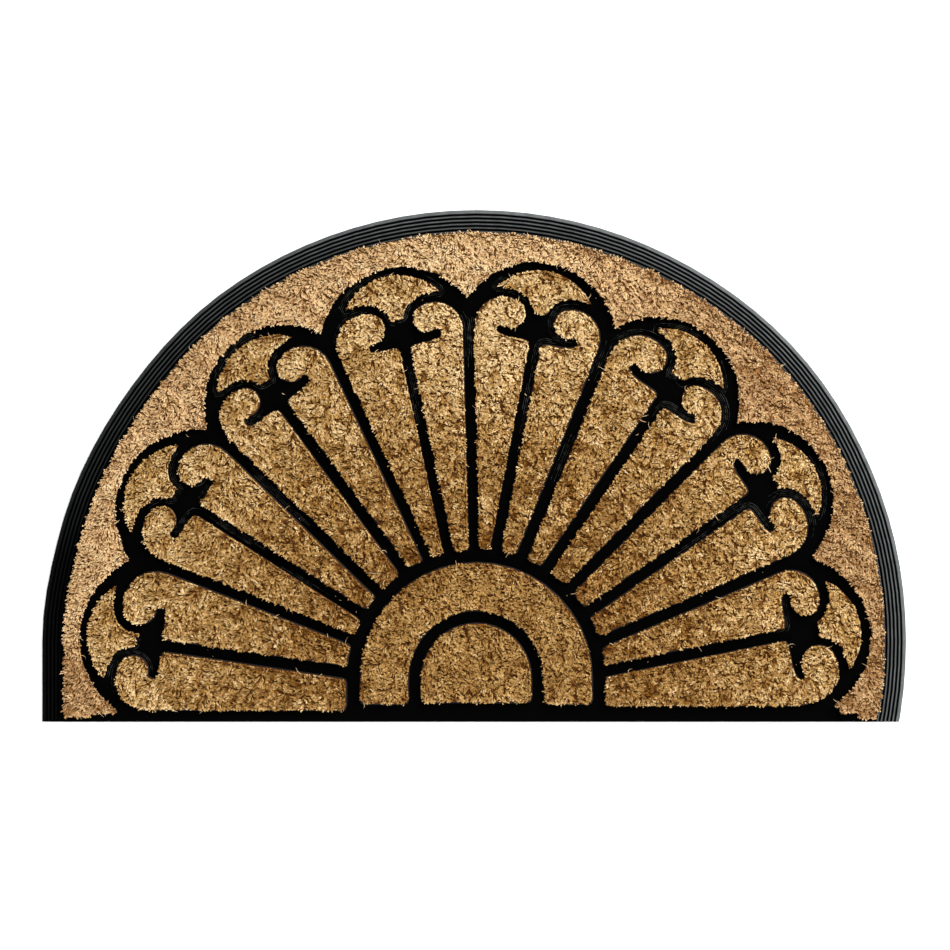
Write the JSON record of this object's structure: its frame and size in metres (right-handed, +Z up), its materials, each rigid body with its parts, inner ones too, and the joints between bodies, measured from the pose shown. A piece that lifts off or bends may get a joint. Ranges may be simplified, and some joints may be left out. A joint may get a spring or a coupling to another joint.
{
  "type": "half-round coir doormat",
  "caption": "Half-round doormat of coir pile set in a black moulded rubber base, with a fan of raised scrollwork lines, a ribbed rim round the arc and a straight threshold edge.",
  "frame": {"origin": "middle of the underside's bounding box, on the floor", "axes": "+X along the straight edge to the right as in the picture, +Y from the straight edge to the arc, +Z up"},
  "size_m": [0.7512, 0.445, 0.013],
  "materials": {
    "moulded_rubber": "matt, ribbed",
    "coir_pile": "short upright fibres"
  },
  "bodies": {
    "root": {"rubber_base": "moulded_rubber", "coir_crescent": "coir_pile", "coir_blade_01": "coir_pile", "coir_blade_02": "coir_pile", "coir_blade_03": "coir_pile", "coir_blade_04": "coir_pile", "coir_blade_05": "coir_pile", "coir_blade_06": "coir_pile", "coir_blade_07": "coir_pile", "coir_blade_08": "coir_pile", "coir_blade_09": "coir_pile", "coir_blade_10": "coir_pile", "coir_blade_11": "coir_pile", "coir_blade_12": "coir_pile", "coir_blade_13": "coir_pile", "coir_blade_14": "coir_pile", "coir_blade_15": "coir_pile", "coir_blade_16": "coir_pile", "coir_cap_01": "coir_pile", "coir_cap_02": "coir_pile", "coir_cap_03": "coir_pile", "coir_cap_04": "coir_pile", "coir_cap_05": "coir_pile", "coir_cap_06": "coir_pile", "coir_cap_07": "coir_pile", "coir_cap_08": "coir_pile", "coir_hub_ring": "coir_pile", "coir_hub_disc": "coir_pile"}
  },
  "joints": []
}
